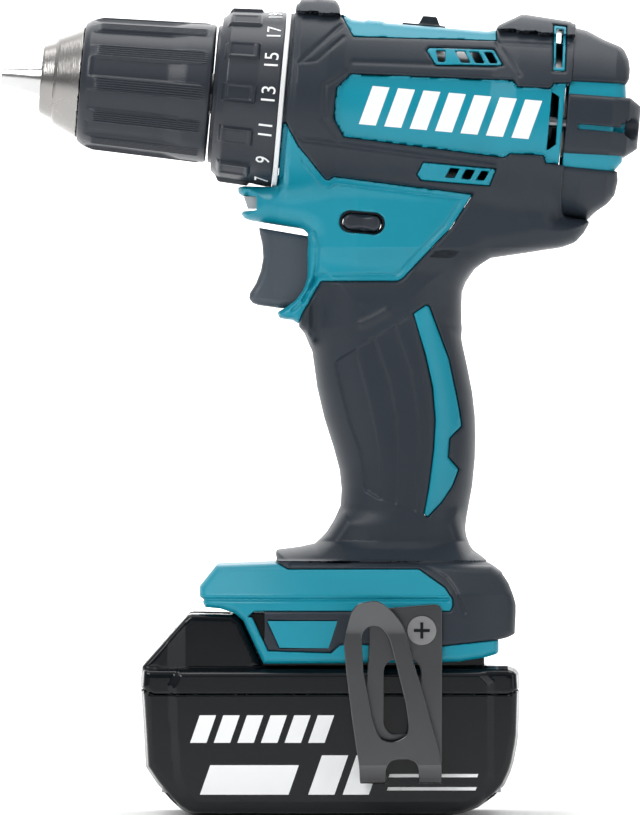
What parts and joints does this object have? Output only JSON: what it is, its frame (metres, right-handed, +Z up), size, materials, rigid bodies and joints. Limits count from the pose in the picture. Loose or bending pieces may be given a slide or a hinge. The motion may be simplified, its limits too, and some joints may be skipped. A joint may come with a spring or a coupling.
{
  "type": "cordless drill",
  "caption": "Pistol-grip cordless drill driver with keyless chuck, torque ring, speed selector, trigger, belt clip and slide-on battery.",
  "frame": {"origin": "centre of the battery's bottom face, on the plane where the two housing halves meet", "axes": "+Z up, +X to the rear of the motor, -X towards the drill bit, +Y the tool's right side"},
  "size_m": [0.1966, 0.0857, 0.2507],
  "materials": {
    "housing": "fine moulded grain, blue-green",
    "elastomer": "soft matt dark grey overmould",
    "black_plastic": "satin black moulding",
    "battery_plastic": "glossy black moulding",
    "white_plastic": "satin white ring",
    "jaw_steel": "ground hardened steel",
    "nose_metal": "turned satin steel",
    "gear_steel": "sintered steel",
    "clip_steel": "polished pressed steel",
    "zinc_screw": "zinc plated",
    "motor_steel": "zinc plated drawn steel",
    "ferrite": "sintered ferrite",
    "copper": "enamelled copper",
    "gear_case_metal": "die cast",
    "lens": "clear moulded lens",
    "cell": "shrink-wrapped steel cells",
    "board": "circuit board with contact clips",
    "cable": "insulated copper leads"
  },
  "bodies": {
    "root": {"housing_left": "housing", "housing_right": "housing", "overmould_left": "elastomer", "overmould_right": "elastomer", "rear_cover": "housing", "rear_bumper": "elastomer", "housing_screws": "zinc_screw", "belt_clip": "clip_steel", "badges": "housing", "led_lamp": "lens", "switch_body": "black_plastic", "terminal_block": "black_plastic", "wiring": "cable", "gear_case": "gear_case_metal", "clutch_pins": "gear_steel", "fixed_ring_gears": "gear_steel", "ball_bearings": "gear_steel", "motor_can": "motor_steel", "motor_magnets": "ferrite", "brush_holder": "black_plastic", "clutch_spring": "gear_steel", "trigger_spring": "gear_steel"},
    "spindle_unit": {"spindle": "gear_steel", "carrier_3": "gear_steel", "chuck_body": "nose_metal", "chuck_screw": "zinc_screw"},
    "chuck_sleeve_unit": {"chuck_sleeve": "black_plastic", "chuck_nut": "nose_metal"},
    "jaw_1_body": {"jaw_1": "jaw_steel"},
    "jaw_2_body": {"jaw_2": "jaw_steel"},
    "jaw_3_body": {"jaw_3": "jaw_steel"},
    "stage_2_carrier": {"carrier_2": "gear_steel"},
    "stage_1_carrier": {"carrier_1": "gear_steel"},
    "rotor": {"motor_shaft": "gear_steel", "armature_core": "gear_steel", "armature_windings": "copper", "cooling_fan": "black_plastic"},
    "torque_ring_unit": {"torque_ring": "black_plastic", "torque_ring_band": "white_plastic"},
    "clutch_nut_body": {"clutch_nut": "gear_steel"},
    "selector": {"speed_selector": "black_plastic"},
    "shifting_ring": {"shifting_ring_gear": "gear_steel"},
    "trigger_body": {"trigger": "black_plastic"},
    "direction_button_body": {"direction_button": "black_plastic"},
    "battery": {"battery_lower_case": "battery_plastic", "battery_upper_case": "battery_plastic", "battery_cells": "cell", "battery_board": "board", "battery_screws": "zinc_screw", "latch_springs": "gear_steel"},
    "battery_latch_body": {"battery_latch": "battery_plastic"},
    "planet_1_1_body": {"planet_1_1": "gear_steel"},
    "planet_1_2_body": {"planet_1_2": "gear_steel"},
    "planet_1_3_body": {"planet_1_3": "gear_steel"},
    "planet_2_1_body": {"planet_2_1": "gear_steel"},
    "planet_2_2_body": {"planet_2_2": "gear_steel"},
    "planet_2_3_body": {"planet_2_3": "gear_steel"},
    "planet_3_1_body": {"planet_3_1": "gear_steel"},
    "planet_3_2_body": {"planet_3_2": "gear_steel"},
    "planet_3_3_body": {"planet_3_3": "gear_steel"}
  },
  "joints": [
    {"name": "spindle_spin", "type": "hinge", "parent": "root", "child": "spindle_unit", "pos_m": [0, 0, 0.21835], "axis": [0.996, 0, -0.0889], "continuous": true},
    {"name": "stage_2_spin", "type": "hinge", "parent": "root", "child": "stage_2_carrier", "pos_m": [0, 0, 0.21835], "axis": [0.996, 0, -0.0889], "continuous": true},
    {"name": "stage_1_spin", "type": "hinge", "parent": "root", "child": "stage_1_carrier", "pos_m": [0, 0, 0.21835], "axis": [0.996, 0, -0.0889], "continuous": true},
    {"name": "rotor_spin", "type": "hinge", "parent": "root", "child": "rotor", "pos_m": [0, 0, 0.21835], "axis": [0.996, 0, -0.0889], "continuous": true},
    {"name": "planet_1_1_spin", "type": "hinge", "parent": "stage_1_carrier", "child": "planet_1_1_body", "pos_m": [0, 0.012, 0.21835], "axis": [0.996, 0, -0.0889], "continuous": true},
    {"name": "planet_1_2_spin", "type": "hinge", "parent": "stage_1_carrier", "child": "planet_1_2_body", "pos_m": [0.00092, -0.006, 0.2287], "axis": [0.996, 0, -0.0889], "continuous": true},
    {"name": "planet_1_3_spin", "type": "hinge", "parent": "stage_1_carrier", "child": "planet_1_3_body", "pos_m": [-0.00092, -0.006, 0.208], "axis": [0.996, 0, -0.0889], "continuous": true},
    {"name": "planet_2_1_spin", "type": "hinge", "parent": "stage_2_carrier", "child": "planet_2_1_body", "pos_m": [0, 0.012, 0.21835], "axis": [0.996, 0, -0.0889], "continuous": true},
    {"name": "planet_2_2_spin", "type": "hinge", "parent": "stage_2_carrier", "child": "planet_2_2_body", "pos_m": [0.00092, -0.006, 0.2287], "axis": [0.996, 0, -0.0889], "continuous": true},
    {"name": "planet_2_3_spin", "type": "hinge", "parent": "stage_2_carrier", "child": "planet_2_3_body", "pos_m": [-0.00092, -0.006, 0.208], "axis": [0.996, 0, -0.0889], "continuous": true},
    {"name": "planet_3_1_spin", "type": "hinge", "parent": "spindle_unit", "child": "planet_3_1_body", "pos_m": [0, 0.012, 0.21835], "axis": [0.996, 0, -0.0889], "continuous": true},
    {"name": "planet_3_2_spin", "type": "hinge", "parent": "spindle_unit", "child": "planet_3_2_body", "pos_m": [0.00092, -0.006, 0.2287], "axis": [0.996, 0, -0.0889], "continuous": true},
    {"name": "planet_3_3_spin", "type": "hinge", "parent": "spindle_unit", "child": "planet_3_3_body", "pos_m": [-0.00092, -0.006, 0.208], "axis": [0.996, 0, -0.0889], "continuous": true},
    {"name": "chuck_sleeve_turn", "type": "hinge", "parent": "spindle_unit", "child": "chuck_sleeve_unit", "pos_m": [0, 0, 0.21835], "axis": [0.996, 0, -0.0889], "range_deg": [0, 2700]},
    {"name": "jaw_1_slide", "type": "slide", "parent": "spindle_unit", "child": "jaw_1_body", "axis": [0.988, 0, 0.1547], "range_m": [0, 0.0237]},
    {"name": "jaw_2_slide", "type": "slide", "parent": "spindle_unit", "child": "jaw_2_body", "axis": [0.9557, -0.2095, -0.2067], "range_m": [0, 0.0237]},
    {"name": "jaw_3_slide", "type": "slide", "parent": "spindle_unit", "child": "jaw_3_body", "axis": [0.9557, 0.2095, -0.2067], "range_m": [0, 0.0237]},
    {"name": "torque_ring_turn", "type": "hinge", "parent": "root", "child": "torque_ring_unit", "pos_m": [0, 0, 0.21835], "axis": [0.996, 0, -0.0889], "range_deg": [-141, 117]},
    {"name": "clutch_nut_slide", "type": "slide", "parent": "root", "child": "clutch_nut_body", "axis": [0.996, 0, -0.0889], "range_m": [-0.0022, 0.0018], "deforming": ["clutch_spring"]},
    {"name": "speed_selector_slide", "type": "slide", "parent": "root", "child": "selector", "axis": [0.996, 0, -0.0889], "range_m": [0, 0.0085]},
    {"name": "ring_gear_shift", "type": "slide", "parent": "root", "child": "shifting_ring", "axis": [0.996, 0, -0.0889], "range_m": [0, 0.004]},
    {"name": "trigger_pull", "type": "slide", "parent": "root", "child": "trigger_body", "axis": [1, 0, 0], "range_m": [0, 0.006], "stiffness_N_per_m": 1500, "springref_m": -0.002, "deforming": ["trigger_spring"]},
    {"name": "direction_button_push", "type": "slide", "parent": "root", "child": "direction_button_body", "axis": [0, 1, 0], "range_m": [-0.003, 0.003]},
    {"name": "battery_slide", "type": "slide", "parent": "root", "child": "battery", "axis": [-1, 0, 0], "range_m": [0, 0.095]},
    {"name": "battery_latch_press", "type": "slide", "parent": "battery", "child": "battery_latch_body", "axis": [0, 0, -1], "range_m": [0, 0.003], "stiffness_N_per_m": 800, "springref_m": -0.002, "deforming": ["latch_springs"]}
  ],
  "couplings": [
    {"joint": "stage_2_spin", "follows": "spindle_spin", "ratio": 3.2},
    {"joint": "stage_1_spin", "follows": "spindle_spin", "ratio": 10.24},
    {"joint": "rotor_spin", "follows": "spindle_spin", "ratio": 32.768},
    {"joint": "planet_1_1_spin", "follows": "spindle_spin", "ratio": -37.547},
    {"joint": "planet_1_2_spin", "follows": "spindle_spin", "ratio": -37.547},
    {"joint": "planet_1_3_spin", "follows": "spindle_spin", "ratio": -37.547},
    {"joint": "planet_2_1_spin", "follows": "spindle_spin", "ratio": -11.733},
    {"joint": "planet_2_2_spin", "follows": "spindle_spin", "ratio": -11.733},
    {"joint": "planet_2_3_spin", "follows": "spindle_spin", "ratio": -11.733},
    {"joint": "planet_3_1_spin", "follows": "spindle_spin", "ratio": -3.6667},
    {"joint": "planet_3_2_spin", "follows": "spindle_spin", "ratio": -3.6667},
    {"joint": "planet_3_3_spin", "follows": "spindle_spin", "ratio": -3.6667},
    {"joint": "jaw_1_slide", "follows": "chuck_sleeve_turn", "m_per_rad": 0.00050293},
    {"joint": "jaw_2_slide", "follows": "chuck_sleeve_turn", "m_per_rad": 0.00050293},
    {"joint": "jaw_3_slide", "follows": "chuck_sleeve_turn", "m_per_rad": 0.00050293},
    {"joint": "clutch_nut_slide", "follows": "torque_ring_turn", "m_per_rad": 0.00088},
    {"joint": "ring_gear_shift", "follows": "speed_selector_slide", "ratio": 0.45}
  ]
}
